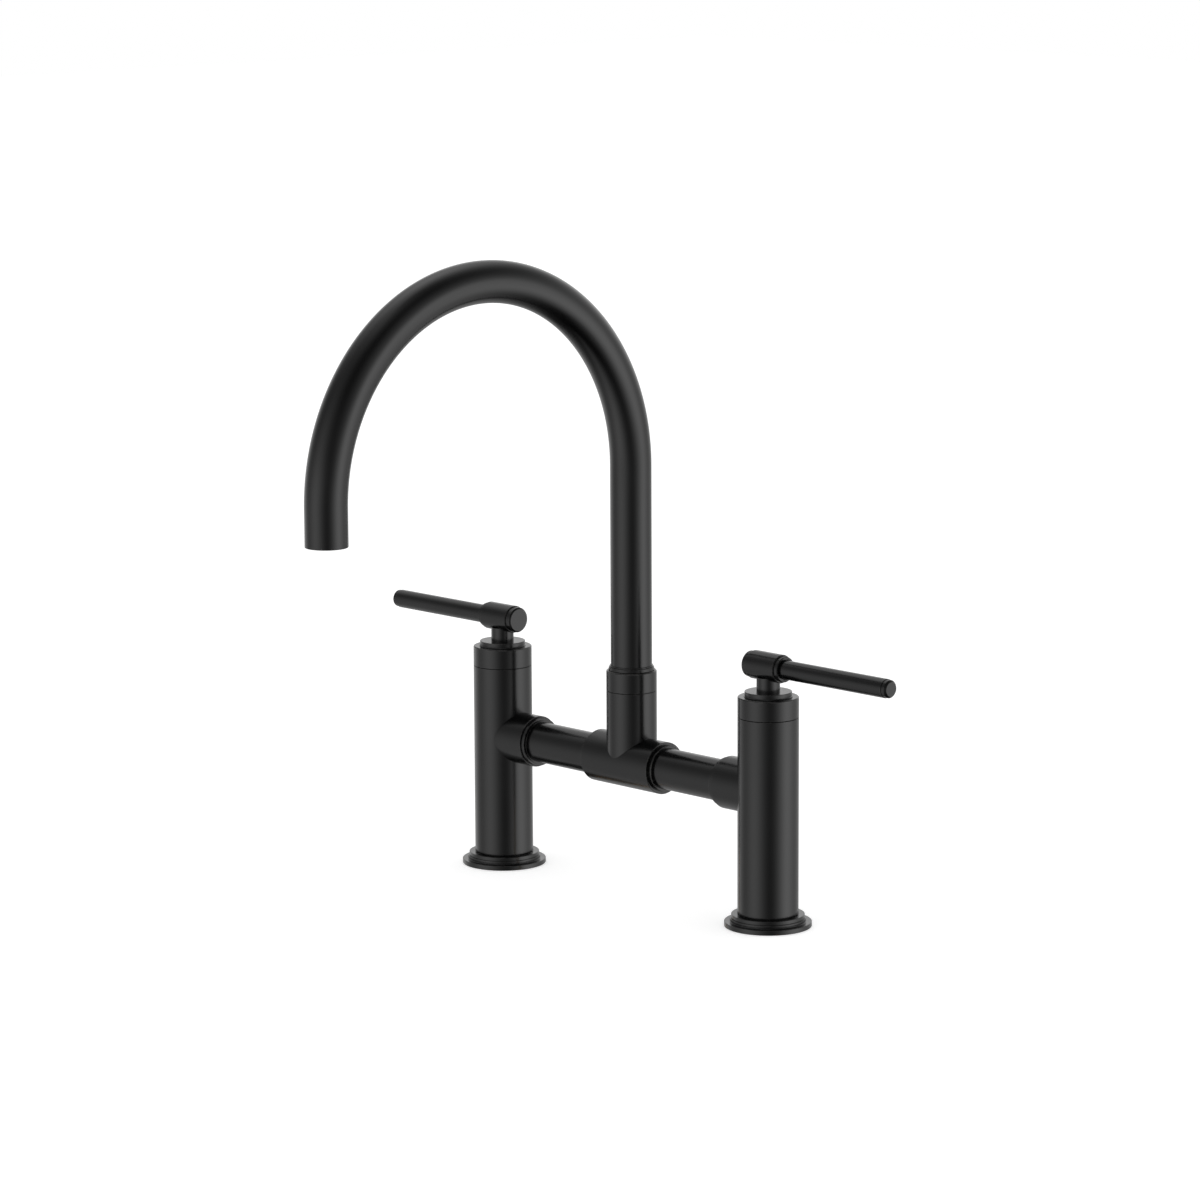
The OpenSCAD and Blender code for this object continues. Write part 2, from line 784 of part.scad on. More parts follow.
module outlet_sleeve() {
  color(brass) at_outlet() difference() {
    ring(sleeve_lip_r, tube_bore_r - seat_fit / 2, sleeve_z, sleeve_lip_z + sleeve_lip_h);
    translate([0, 0, sleeve_z - 1]) cylinder(r = aerator_r + seat_fit, h = sleeve_lip_z - sleeve_z + 1);
  }
}

// Recessed housing with four notches in its lip for a key
module aerator_housing() {
  color(nylon) at_outlet() difference() {
    ring(aerator_lip_r, aerator_r, aerator_z, aerator_top);
    translate([0, 0, aerator_z + aerator_lip]) cylinder(r = aerator_bore_r, h = aerator_h);
    for (i = [0 : key_slots - 1]) {
      rotate([0, 0, 45 + 360 * i / key_slots]) translate([0, -key_w / 2, aerator_z - 1])
        cube([aerator_lip_r + key_in, key_w, aerator_lip + 1]);
    }
  }
}

// Flow straightener: a honeycomb of jets that shows in the outlet
module aerator_insert() {
  h = aerator_h - aerator_lip;
  color(nylon) at_outlet() translate([0, 0, aerator_z + aerator_lip]) difference() {
    cylinder(r = aerator_bore_r - seat_fit, h = h);
    for (row = [-jet_rows : jet_rows], column = [-2 * jet_rows : 2 * jet_rows]) {
      x = jet_pitch * (column + row / 2);
      y = jet_pitch * row * sqrt(3) / 2;
      if (norm([x, y]) < jet_field) translate([x, y, -1]) rotate([0, 0, 30]) hexagon(jet_w, h + 2);
    }
  }
}

module aerator_washer() {
  color(rubber_black) at_outlet() ring(aerator_lip_r, aerator_r, aerator_top, aerator_top + washer_t);
}

at_post(-1) escutcheon();  // left_escutcheon
at_post(1) escutcheon();  // right_escutcheon
at_posts() base_gasket();  // base_gaskets
at_post(-1) post();  // left_post
at_post(1) post();  // right_post
at_post(-1) shank();  // left_shank
at_post(1) shank();  // right_shank
at_posts() rubber_washer();  // rubber_washers
at_posts() steel_washer();  // steel_washers
at_posts() lock_nut();  // lock_nuts
at_post(-1) cap();  // left_cap
at_post(1) cap();  // right_cap
at_post(-1) valve_body();  // left_valve_body
at_post(1) valve_body();  // right_valve_body
at_post(-1) fixed_disc();  // left_fixed_disc
at_post(1) fixed_disc();  // right_fixed_disc
at_posts() seat_seal();  // seat_seals
at_posts() valve_oring();  // valve_orings
at_posts() branch_ring();  // branch_rings
at_post(-1) bridge_pipe();  // left_bridge_pipe
at_post(1) bridge_pipe();  // right_bridge_pipe
tee();
at_tee_ends() tee_ring();  // tee_rings
bridge_orings();
spout_collar();
spout_bush();
glide_washers();
at_post(-1) spindle();  // left_spindle
at_post(-1) moving_disc();  // left_moving_disc
at_post(-1) spindle_oring();  // left_spindle_oring
at_post(-1) circlip();  // left_circlip
at_post(-1) handle_base();  // left_handle_base
at_post(-1) hub();  // left_hub
at_post(-1) hub_cap();  // left_hub_cap
at_post(-1) lever_collar();  // left_lever_collar
at_post(-1) lever();  // left_lever
at_post(-1) lever_tip();  // left_lever_tip
at_post(-1) handle_screw();  // left_handle_screw
at_post(1) spindle();  // right_spindle
at_post(1) moving_disc();  // right_moving_disc
at_post(1) spindle_oring();  // right_spindle_oring
at_post(1) circlip();  // right_circlip
at_post(1) handle_base();  // right_handle_base
at_post(1) hub();  // right_hub
at_post(1) hub_cap();  // right_hub_cap
at_post(1) lever_collar();  // right_lever_collar
at_post(1) lever();  // right_lever
at_post(1) lever_tip();  // right_lever_tip
at_post(1) handle_screw();  // right_handle_screw
spout_tube();
spout_stem();
spout_orings();
spout_ring();
outlet_sleeve();
aerator_housing();
aerator_insert();
aerator_washer();
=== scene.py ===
import json
import math

import bpy
import numpy as np
from mathutils import Matrix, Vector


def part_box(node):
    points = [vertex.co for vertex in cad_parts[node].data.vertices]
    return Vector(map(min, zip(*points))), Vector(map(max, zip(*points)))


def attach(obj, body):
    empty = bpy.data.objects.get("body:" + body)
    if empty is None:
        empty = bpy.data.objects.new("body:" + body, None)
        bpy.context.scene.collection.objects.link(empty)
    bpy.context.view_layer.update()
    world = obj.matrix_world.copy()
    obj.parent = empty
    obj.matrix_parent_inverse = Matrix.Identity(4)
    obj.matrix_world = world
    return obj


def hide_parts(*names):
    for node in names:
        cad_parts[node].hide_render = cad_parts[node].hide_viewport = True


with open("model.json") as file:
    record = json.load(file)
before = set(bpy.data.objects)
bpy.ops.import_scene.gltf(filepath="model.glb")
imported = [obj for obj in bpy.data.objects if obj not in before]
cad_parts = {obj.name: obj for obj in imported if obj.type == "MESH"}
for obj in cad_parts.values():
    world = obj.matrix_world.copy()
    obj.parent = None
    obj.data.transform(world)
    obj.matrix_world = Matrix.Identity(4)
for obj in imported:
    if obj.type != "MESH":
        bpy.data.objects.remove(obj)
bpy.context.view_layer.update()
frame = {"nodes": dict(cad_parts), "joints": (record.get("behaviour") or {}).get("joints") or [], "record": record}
print("frame loaded,", len(frame["nodes"]), "nodes")

mm = 0.001
ringSteps = 192         # columns round posts, flanges, rings and pipes
barSteps = 128          # columns round the spout tube and the lever parts
crossSteps = 96         # columns of half a tube beside a crossing
crossRows = 24          # rows along that half tube
crossLayers = 10        # steps from a crossing's edge out to the border of its band
arcSteps = 5            # steps along a rounded edge
edgeFade = 0.3          # millimetres over which edge wear fades out, at most
fadeShare = 0.45        # share of a short side that the fade may take
weldScale = 1e7         # points that agree to a ten-millionth of a metre are joined
hairEdge = 0.05         # rounding in millimetres of an edge that looks sharp
along = {"x": np.array([1.0, 0, 0]), "y": np.array([0, 1.0, 0]), "z": np.array([0, 0, 1.0])}


# Camera

photoCamera = {
    "azimuth": 46.593,      # degrees round the tap, 0 looks along +Y
    "elevation": 9.985,
    "roll": -0.28,
    "distance": 2.46819,    # metres from the target
    "target": (-0.024014, 0.0, 0.155683),
    "lens": 139.03,         # millimetres, and so is the sensor's width
    "sensor": 36.0,
    "clip": (0.05, 50),     # nearest and farthest metre shown
}


# The back vector points from the target to the lens. Right is level before the roll turns it about back.
def makeCamera(c):
    azimuth, elevation, roll = (math.radians(c[k]) for k in ("azimuth", "elevation", "roll"))
    back = np.array([math.sin(azimuth) * math.cos(elevation), -math.cos(azimuth) * math.cos(elevation),
                     math.sin(elevation)])
    level = np.array([math.cos(azimuth), math.sin(azimuth), 0.0])
    over = np.cross(back, level)
    right = level * math.cos(roll) + over * math.sin(roll)
    up = over * math.cos(roll) - level * math.sin(roll)
    turn = np.eye(4)
    turn[:3, 0], turn[:3, 1], turn[:3, 2] = right, up, back
    turn[:3, 3] = np.array(c["target"]) + back * c["distance"]
    camera = bpy.data.objects.new("photoCamera", bpy.data.cameras.new("photoCamera"))
    camera.data.lens = c["lens"]
    camera.data.sensor_width = c["sensor"]
    camera.data.clip_start, camera.data.clip_end = c["clip"]
    camera.matrix_world = Matrix(turn.tolist())
    bpy.context.scene.collection.objects.link(camera)
    bpy.context.scene.camera = camera


makeCamera(photoCamera)
print("camera made")


# Outlines and turned surfaces

# Walks the corners (radius, height, rounding) in millimetres with the solid on the left. A rounded corner
# becomes an arc tangent to both sides, a sharp one a doubled point with the normals of both sides. Gives
# each point's place, its outward normal and its wear, which is 1 on outer edges and 0 away from them.
def outline(*corners, closed=False):
    place = np.array([c[:2] for c in corners], float)
    rounding = [c[2] if len(c) > 2 else 0.0 for c in corners]
    count = len(corners)
    side = np.roll(place, -1, axis=0) - place
    length = np.linalg.norm(side, axis=1)
    heading = side / np.maximum(length, 1e-9)[:, None]
    turn = np.zeros(count)
    for i in range(0 if closed else 1, count if closed else count - 1):
        before, after = heading[i - 1], heading[i]
        turn[i] = math.atan2(before[0] * after[1] - before[1] * after[0], before @ after)
    reach = np.array(rounding) * np.tan(np.abs(turn) / 2)
    free = length - reach - np.roll(reach, -1)
    fade = np.clip(fadeShare * free, 0, edgeFade)
    points, normals, wear = [], [], []

    def put(where, facing, worn):
        points.append(np.atleast_2d(where))
        normals.append(np.atleast_2d(facing))
        wear.append(np.full(len(points[-1]), float(worn)))

    for i in range(count):
        before, after = heading[i - 1], heading[i]
        if not closed and i in (0, count - 1):
            here = after if i == 0 else before
            put(place[i], (here[1], -here[0]), 0)
            continue
        facing = np.array([before[1], -before[0]])
        start, end = place[i] - before * reach[i], place[i] + after * reach[i]
        angles = np.linspace(0, turn[i], arcSteps + 1 if rounding[i] else 2)
        arc = np.stack([np.cos(angles) * facing[0] - np.sin(angles) * facing[1],
                        np.sin(angles) * facing[0] + np.cos(angles) * facing[1]], axis=1)
        bend = math.copysign(rounding[i], turn[i])
        if fade[i - 1] > 1e-3:
            put(start - before * fade[i - 1], facing, 0)
        put(start - bend * facing + bend * arc, arc, turn[i] > 0)
        if fade[i] > 1e-3:
            put(end + after * fade[i], arc[-1], 0)
    if closed:
        points.append(points[0][:1])
        normals.append(normals[0][:1])
        wear.append(wear[0][:1])
    return np.vstack(points), np.vstack(normals), np.concatenate(wear)


# Puts points into every gap of an outline that is longer than the step, evenly spaced along it.
def divided(shape, step):
    place, facing, wear = shape
    gap = np.linalg.norm(np.diff(place, axis=0), axis=1)
    parts = np.maximum(np.ceil(gap / step).astype(int), 1)
    first = np.repeat(np.arange(len(parts)), parts)
    share = (np.arange(len(first)) - np.repeat(np.cumsum(parts) - parts, parts)) / parts[first]

    def between(values):
        low, high = values[first], values[first + 1]
        mix = share if values.ndim == 1 else share[:, None]
        return np.concatenate([low + (high - low) * mix, values[-1:]])

    return between(place), between(facing), between(wear)


# A straight path: its place at each distance, two sides square to it and its heading.
def straight(origin, ahead, side):
    ahead, side = np.asarray(ahead, float), np.asarray(side, float)
    cross = np.cross(ahead, side)

    def path(distance):
        rows = np.ones((len(distance), 1))
        place = np.asarray(origin, float) + distance[:, None] * ahead
        return place, side * rows, cross * rows, ahead * rows

    return path


def upright(x=0.0, y=0.0):
    return straight((x, y, 0), along["z"], along["x"])


def turns(steps=ringSteps):
    return np.linspace(0, 2 * math.pi, steps + 1)


# Carries an outline round a path: each point sits on the path at its height, then goes out by its radius
# in the direction of each angle. Normals turn with it.
def turned(shape, path, angles=None):
    angles = turns() if angles is None else angles
    points, facing, wear = shape
    place, side, cross, ahead = path(points[:, 1] * mm)
    outward = side[:, None] * np.cos(angles)[:, None] + cross[:, None] * np.sin(angles)[:, None]
    grid = place[:, None] + points[:, 0, None, None] * mm * outward
    normals = facing[:, 0, None, None] * outward + facing[:, 1, None, None] * ahead[:, None]
    return grid, normals, np.repeat(wear[:, None], len(angles), axis=1)


# Where a side tube leaves or enters a larger tube. The larger tube runs along main and the side tube along
# side, from the crossing of their axes. The edge is the curve on which both distances hold at once: its
# angle round the main tube has the sine (side radius x cosine)/(main radius), and it lies side radius x
# sine along the main tube. A band of the main tube is made, from half below the crossing to half above it.
# On the side tube's side its points are spread evenly from that curve out to a rectangle. Gives the band's
# patches, and the edge's points, their angles round the side tube and the path of that tube.
def crossing(origin, main, side, mainRadius, sideRadius, half, inward=False):
    columns, rows = crossSteps, crossRows
    main, side = np.asarray(main, float), np.asarray(side, float)
    lateral = np.cross(main, side)
    across, up = np.linspace(-1, 1, columns + 1), np.linspace(-1, 1, rows + 1)
    border = np.concatenate([
        np.stack([np.full(rows, 1.0), up[:-1]], 1),
        np.stack([across[::-1][:-1], np.full(columns, 1.0)], 1),
        np.stack([np.full(rows, -1.0), up[::-1][:-1]], 1),
        np.stack([across[:-1], np.full(columns, -1.0)], 1)])
    border = np.vstack([border, border[:1]])
    sweep = np.unwrap(np.arctan2(border[:, 1], border[:, 0]))
    ovalAngle = np.arcsin(sideRadius * np.cos(sweep) / mainRadius)
    ovalAlong = sideRadius * np.sin(sweep)
    share = np.linspace(0, 1, crossLayers + 1)[:, None]
    angle = ovalAngle + share * (border[:, 0] * math.pi / 2 - ovalAngle)
    distance = ovalAlong + share * (border[:, 1] * half - ovalAlong)
    sign = -1.0 if inward else 1.0

    def onMain(angle, distance):
        outward = side * np.cos(angle)[..., None] + lateral * np.sin(angle)[..., None]
        grid = np.asarray(origin, float) + mainRadius * mm * outward + distance[..., None] * mm * main
        return grid, sign * outward, np.zeros(angle.shape)

    far = np.broadcast_to(np.linspace(math.pi / 2, 3 * math.pi / 2, columns + 1), (rows + 1, columns + 1))
    level = np.broadcast_to((up * half)[:, None], far.shape)
    patches = [onMain(angle, distance), onMain(far, level)]
    outward = lateral * np.cos(sweep)[:, None] + main * np.sin(sweep)[:, None]
    edge = np.asarray(origin, float) + sideRadius * mm * outward
    edge = edge + (mainRadius * mm * np.cos(ovalAngle))[:, None] * side
    return {"patches": patches, "edge": edge, "angles": sweep, "path": straight(origin, side, lateral)}


# The side tube's wall: an outline carried round the side tube. It starts at the saddle-shaped edge of one
# crossing and, where a second crossing is given, ends at that one's edge.
def sideWall(shape, start, finish=None):
    grid, normals, wear = turned(shape, start["path"], start["angles"])
    unworn = wear[:1] * 0
    grid = np.concatenate([start["edge"][None], grid])
    normals = np.concatenate([normals[:1], normals])
    wear = np.concatenate([unworn, wear])
    if finish:
        grid = np.concatenate([grid, finish["edge"][None]])
        normals = np.concatenate([normals, normals[-1:]])
        wear = np.concatenate([wear, unworn])
    return grid, normals, wear


# Angles once round a tube, in steps that meet those of a crossing
def mainTurns():
    return np.linspace(-math.pi / 2, 3 * math.pi / 2, 2 * crossSteps + 1)


# Makes one mesh of several grids. Neighbouring grid points make quads, points in one place become one
# vertex, corners that fell together are dropped, and each corner keeps the normal of its own grid.
def makeMesh(name, patches):
    corners, cornerNormals, places, wears = [], [], [], []
    base = 0
    for grid, normals, wear in patches:
        grid = np.asarray(grid)
        rows, columns = grid.shape[:2]
        index = np.arange(rows * columns).reshape(rows, columns)
        quads = np.stack([index[:-1, :-1], index[:-1, 1:], index[1:, 1:], index[1:, :-1]], -1).reshape(-1, 4)
        flat, flatNormal = grid.reshape(-1, 3), normals.reshape(-1, 3)
        a, b, c, d = (flat[quads[:, k]] for k in range(4))
        facing = np.cross(c - a, d - b)
        if np.sum(facing * flatNormal[quads].sum(1)) < 0:
            quads = quads[:, ::-1]
        corners.append(quads + base)
        cornerNormals.append(flatNormal[quads])
        places.append(flat)
        wears.append(np.asarray(wear, float).ravel())
        base += len(flat)
    places, wears = np.vstack(places), np.concatenate(wears)
    corners, cornerNormals = np.vstack(corners), np.concatenate(cornerNormals)
    keys = np.round(places * weldScale).astype(np.int64)
    _, firstSeen, joined = np.unique(keys, axis=0, return_index=True, return_inverse=True)
    joined = joined.reshape(-1)
    vertexWear = np.zeros(len(firstSeen))
    np.maximum.at(vertexWear, joined, wears)
    corners = joined[corners]
    kept = corners != np.roll(corners, -1, axis=1)
    kept[kept.sum(1) < 3] = False
    loops, sizes = corners[kept], kept.sum(1)
    sizes = sizes[sizes > 0]
    mesh = bpy.data.meshes.new(name)
    mesh.vertices.add(len(firstSeen))
    mesh.vertices.foreach_set("co", places[firstSeen].astype(np.float32).ravel())
    mesh.loops.add(len(loops))
    mesh.loops.foreach_set("vertex_index", loops.astype(np.int32))
    mesh.polygons.add(len(sizes))
    mesh.polygons.foreach_set("loop_start", (np.cumsum(sizes) - sizes).astype(np.int32))
    mesh.update(calc_edges=True)
    mesh.polygons.foreach_set("use_smooth", np.ones(len(sizes), bool))
    loopNormals = cornerNormals[kept]
    loopNormals = loopNormals / np.linalg.norm(loopNormals, axis=1)[:, None]
    mesh.normals_split_custom_set(loopNormals.tolist())
    worn = mesh.attributes.new("edgeWear", "FLOAT", "POINT")
    worn.data.foreach_set("value", vertexWear.astype(np.float32))
    return mesh


# Adds a finished piece that stands for the named nodes. A slot's name also picks the material.
def addPiece(name, patches, body, slotName, *stands):
    piece = bpy.data.objects.new(name, makeMesh(name, patches))
    bpy.context.scene.collection.objects.link(piece)
    piece.data.materials.append(finishOf[slotName])
    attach(piece, body)
    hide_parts(*stands)


# Materials

class NodeBench:
    # One material's node tree, with short calls to add and join nodes

    def __init__(self, name):
        self.material = bpy.data.materials.new(name)
        self.material.use_nodes = True
        self.tree = self.material.node_tree
        self.shader = self.tree.nodes["Principled BSDF"]
        self.place = self.add("ShaderNodeTexCoord").outputs["Object"]

    def add(self, kind, **settings):
        node = self.tree.nodes.new(kind)
        for key, value in settings.items():
            setattr(node, key, value)
        return node

    def join(self, source, target):
        self.tree.links.new(source, target)

    def noise(self, scale, detail, stretch=None):
        node = self.add("ShaderNodeTexNoise")
        node.inputs["Scale"].default_value = scale
        node.inputs["Detail"].default_value = detail
        if stretch:
            mapping = self.add("ShaderNodeMapping")
            mapping.inputs["Scale"].default_value = stretch
            self.join(self.place, mapping.inputs["Vector"])
            self.join(mapping.outputs["Vector"], node.inputs["Vector"])
        else:
            self.join(self.place, node.inputs["Vector"])
        return node.outputs["Fac"]

    # Maps a noise, which mostly stays between fromLow and fromHigh, to low and high
    def spread(self, source, low, high, fromLow=0.3, fromHigh=0.7):
        node = self.add("ShaderNodeMapRange")
        for key, value in (("From Min", fromLow), ("From Max", fromHigh), ("To Min", low), ("To Max", high)):
            node.inputs[key].default_value = value
        self.join(source, node.inputs["Value"])
        return node.outputs["Result"]

    def times(self, a, b):
        node = self.add("ShaderNodeMath", operation="MULTIPLY")
        self.join(a, node.inputs[0])
        self.join(b, node.inputs[1])
        return node.outputs[0]

    def mixColours(self, share, first, second):
        node = self.add("ShaderNodeMix", data_type="RGBA")
        self.join(share, node.inputs[0])
        for socket, value in ((node.inputs[6], first), (node.inputs[7], second)):
            if isinstance(value, tuple):
                socket.default_value = (*value, 1.0)
            else:
                self.join(value, socket)
        return node.outputs[2]

    def bump(self, height, distance, strength):
        node = self.add("ShaderNodeBump")
        node.inputs["Strength"].default_value = strength
        node.inputs["Distance"].default_value = distance
        self.join(height, node.inputs["Height"])
        return node.outputs["Normal"]

    def set(self, **values):
        for key, value in values.items():
            socket = self.shader.inputs[key.replace("_", " ")]
            if isinstance(value, bpy.types.NodeSocket):
                self.join(value, socket)
            else:
                socket.default_value = value


# In every finish below, a noise is given by its features a metre and its detail, and a relief by its depth
# in metres and its strength.
coating = {
    "colour": (0.0014, 0.0015, 0.0016),     # satin black, baked on
    "cloud": (0.0022, 0.0023, 0.0024),      # slightly paler drifts in it
    "worn": (0.028, 0.027, 0.026),          # thin coating on an edge
    "roughness": (0.215, 0.25),
    "drift": (38.0, 3.0),
    "grain": (2600.0, 2.0),
    "relief": (0.000012, 0.35),
    "patches": (420.0, 3.0),                # breaks in the edge wear
    "patchRange": (0.0, 0.75, 0.42, 0.62),  # least and most wear, and the levels of noise that give them
    "ior": 1.5,
}


# Black in faint drifts, with a fine grain in relief and thin, patchy wear on its edges
def satinBlack(c):
    b = NodeBench("satinBlack")
    drift = b.noise(*c["drift"])
    grain = b.noise(*c["grain"])
    edge = b.add("ShaderNodeAttribute", attribute_name="edgeWear").outputs["Fac"]
    patchy = b.spread(b.noise(*c["patches"]), *c["patchRange"])
    body = b.mixColours(b.spread(drift, 0.0, 1.0), c["colour"], c["cloud"])
    b.set(Base_Color=b.mixColours(b.times(edge, patchy), body, c["worn"]), IOR=c["ior"])
    b.set(Roughness=b.spread(drift, *c["roughness"]))
    b.set(Normal=b.bump(grain, *c["relief"]))
    return b.material


brassFinish = {
    "colour": (0.72, 0.50, 0.22), "stained": (0.55, 0.36, 0.15), "crest": (0.80, 0.60, 0.32),
    "stain": (90.0, 4.0), "marks": (900.0, 2.0), "turning": (0.15, 0.15, 3.0), "roughness": (0.24, 0.40),
    "relief": (0.00003, 0.4),
}


# Turned brass: marks run round it, and the crests of a thread are bright.
def turnedBrass(c):
    b = NodeBench("turnedBrass")
    marks = b.noise(*c["marks"], stretch=c["turning"])
    stain = b.noise(*c["stain"])
    edge = b.add("ShaderNodeAttribute", attribute_name="edgeWear").outputs["Fac"]
    body = b.mixColours(b.spread(stain, 0.0, 1.0), c["colour"], c["stained"])
    colour = b.mixColours(edge, body, c["crest"])
    b.set(Base_Color=colour, Metallic=1.0, Roughness=b.spread(marks, *c["roughness"]))
    b.set(Normal=b.bump(marks, *c["relief"]))
    return b.material


steelFinish = {
    "colour": (0.58, 0.58, 0.57), "stained": (0.46, 0.47, 0.48), "stain": (120.0, 3.0),
    "marks": (1400.0, 2.0), "rolling": (1.0, 0.1, 1.0), "roughness": (0.26, 0.42), "relief": (0.00002, 0.4),
}


# Rolled steel: stains, and marks that run one way
def washerSteel(c):
    b = NodeBench("washerSteel")
    marks = b.noise(*c["marks"], stretch=c["rolling"])
    stain = b.noise(*c["stain"])
    colour = b.mixColours(b.spread(stain, 0.0, 1.0), c["colour"], c["stained"])
    b.set(Base_Color=colour, Metallic=1.0, Roughness=b.spread(marks, *c["roughness"]))
    b.set(Normal=b.bump(marks, *c["relief"]))
    return b.material


# Finishes that aren't metal: two colours in drifts, with a grain in relief. What makes the roughness vary
# is named by "dulledBy".
softFinishes = {
    "sealRubber": {
        "colour": (0.012, 0.012, 0.012), "drifted": (0.022, 0.021, 0.020), "drift": (160.0, 3.0),
        "grain": (2200.0, 3.0), "relief": (0.00002, 0.5), "dulledBy": "drift", "roughness": (0.58, 0.78),
        "ior": 1.5,
    },
    "paleNylon": {
        "colour": (0.80, 0.79, 0.74), "drifted": (0.74, 0.72, 0.66), "drift": (140.0, 3.0),
        "grain": (3000.0, 2.0), "relief": (0.00001, 0.4), "dulledBy": "drift", "roughness": (0.38, 0.5),
        "ior": 1.53,
    },
    "discCeramic": {
        "colour": (0.86, 0.84, 0.78), "drifted": (0.80, 0.77, 0.70), "drift": (200.0, 2.0),
        "grain": (1500.0, 3.0), "relief": (0.000004, 0.3), "dulledBy": "grain", "roughness": (0.10, 0.2),
        "ior": 1.7,
    },
}


def softFinish(name):
    c = softFinishes[name]
    b = NodeBench(name)
    grain = b.noise(*c["grain"])
    drift = b.noise(*c["drift"])
    colour = b.mixColours(b.spread(drift, 0.0, 1.0), c["colour"], c["drifted"])
    dulling = {"grain": grain, "drift": drift}[c["dulledBy"]]
    b.set(Base_Color=colour, Roughness=b.spread(dulling, *c["roughness"]), IOR=c["ior"])
    b.set(Normal=b.bump(grain, *c["relief"]))
    return b.material


finishOf = {
    "black_coating": satinBlack(coating),
    "brass": turnedBrass(brassFinish),
    "steel": washerSteel(steelFinish),
    "rubber": softFinish("sealRubber"),
    "nylon": softFinish("paleNylon"),
    "ceramic": softFinish("discCeramic"),
}
for entry in frame["record"]["subparts"]:
    node = frame["nodes"][entry["node"]]
    node.data.materials.clear()
    node.data.materials.append(finishOf[entry["material_slot"]])
print("materials made")


# Places taken from the frame, in millimetres

def low(node, axis):
    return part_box(node)[0]["xyz".index(axis)] / mm


def high(node, axis):
    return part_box(node)[1]["xyz".index(axis)] / mm


axisOf = {joint["name"]: joint["pos_m"] for joint in frame["joints"]}
postX = axisOf["right_handle_turn"][0] / mm
deckLevel = low("left_escutcheon", "z")
baseTop = high("left_escutcheon", "z")
postTop = high("left_post", "z")
capTop = high("left_cap", "z")
discBottom = low("left_handle_base", "z")
sides = (("left", -1), ("right", 1))
print("posts stand", round(2 * postX, 2), "mm apart")


# Base flanges

flangeSizes = {"radius": 22.85, "step": 2.55, "tierRadius": 19.8, "ledge": 4.4, "topRadius": 19.15,
               "well": 16.0, "wellDepth": 0.45, "hole": 10.68, "recess": 20.5, "recessDepth": 1.4,
               "edge": 0.25, "fillet": 0.4, "ledgeEdge": 0.1}


# Once round the section: the recess below, the outer edge, the step, the ledge, the rim and the hole
def flangeOutline(f):
    r, top, rim = f["tierRadius"], f["topRadius"], baseTop + f["wellDepth"]
    return outline(
        (f["hole"], f["recessDepth"]), (f["recess"], f["recessDepth"]), (f["recess"], deckLevel),
        (f["radius"], deckLevel, f["edge"]), (f["radius"], f["step"], f["edge"]),
        (r, f["step"], f["fillet"]), (r, f["ledge"], f["ledgeEdge"]), (top, f["ledge"]),
        (top, rim, f["edge"]), (f["well"], rim, hairEdge), (f["well"], baseTop), (f["hole"], baseTop),
        closed=True)


for sideName, way in sides:
    addPiece(sideName + "Flange", [turned(flangeOutline(flangeSizes), upright(way * postX * mm))], "root",
             "black_coating", sideName + "_escutcheon")
print("flanges made")


# Posts, each with its barrel

postSizes = {
    "radius": 15.875, "footIn": 1.6, "footStart": 0.45, "footEnd": 0.95, "topEdge": 0.12,
    "bridge": 71.56, "barrel": 13.9, "barrelEnd": 28.5, "barrelEdge": 0.3, "band": 16.5,
    "socket": 10.53, "socketTop": 26.0, "chamber": 9.6, "chamberFloor": 58.0, "thread": 11.4,
    "threadFloor": 92.0, "nutRoom": 13.0, "nutFloor": 101.0, "innerBand": 11.5,
    "ringSocket": 12.3, "ringDepth": 6.0, "pipeSocket": 10.975, "pipeDepth": 12.5, "bore": 8.0,
    "barrelStart": 2.0, "boreShown": 1.0,       # wall in the outline, which runs on to the crossing
}


# The post is turned, with a seam at its foot, and its barrel leaves it toward the other post. Its bores are
# turned as well: the shank's socket below, the valve's chamber above and the pipe's socket in the barrel.
def postPatches(p, way):
    x = way * postX * mm
    cross = ((x, 0, p["bridge"] * mm), along["z"], -way * along["x"])
    outer = crossing(*cross, p["radius"], p["barrel"], p["band"])
    inner = crossing(*cross, p["chamber"], p["bore"], p["innerBand"], inward=True)
    seamLow, seamHigh = baseTop + p["footStart"], baseTop + p["footEnd"]
    foot = outline(
        (0, p["socketTop"]), (p["socket"], p["socketTop"]), (p["socket"], baseTop), (p["radius"], baseTop),
        (p["radius"], seamLow, hairEdge), (p["radius"] - p["footIn"], seamLow),
        (p["radius"] - p["footIn"], seamHigh), (p["radius"], seamHigh, p["topEdge"]),
        (p["radius"], p["bridge"] - p["band"]))
    head = outline(
        (p["radius"], p["bridge"] + p["band"]), (p["radius"], postTop, p["topEdge"]),
        (p["nutRoom"], postTop), (p["nutRoom"], p["nutFloor"]), (p["thread"], p["nutFloor"]),
        (p["thread"], p["threadFloor"]), (p["chamber"], p["threadFloor"]),
        (p["chamber"], p["bridge"] + p["innerBand"]))
    floor = outline(
        (p["chamber"], p["bridge"] - p["innerBand"]), (p["chamber"], p["chamberFloor"]),
        (0, p["chamberFloor"]))
    end = p["barrelEnd"]
    barrel = outline(
        (p["barrel"], end - p["barrelStart"]), (p["barrel"], end, p["barrelEdge"]), (p["ringSocket"], end),
        (p["ringSocket"], end - p["ringDepth"]), (p["pipeSocket"], end - p["ringDepth"]),
        (p["pipeSocket"], end - p["pipeDepth"]), (p["bore"], end - p["pipeDepth"]),
        (p["bore"], end - p["pipeDepth"] - p["boreShown"]))
    turnAngles = mainTurns()
    frameAxis = straight((x, 0, 0), along["z"], -way * along["x"])
    return [*outer["patches"], *inner["patches"], sideWall(barrel, outer, inner),
            *(turned(shape, frameAxis, turnAngles) for shape in (foot, head, floor))]


for sideName, way in sides:
    addPiece(sideName + "Post", postPatches(postSizes, way), "root", "black_coating", sideName + "_post")
print("posts made")


# Post caps

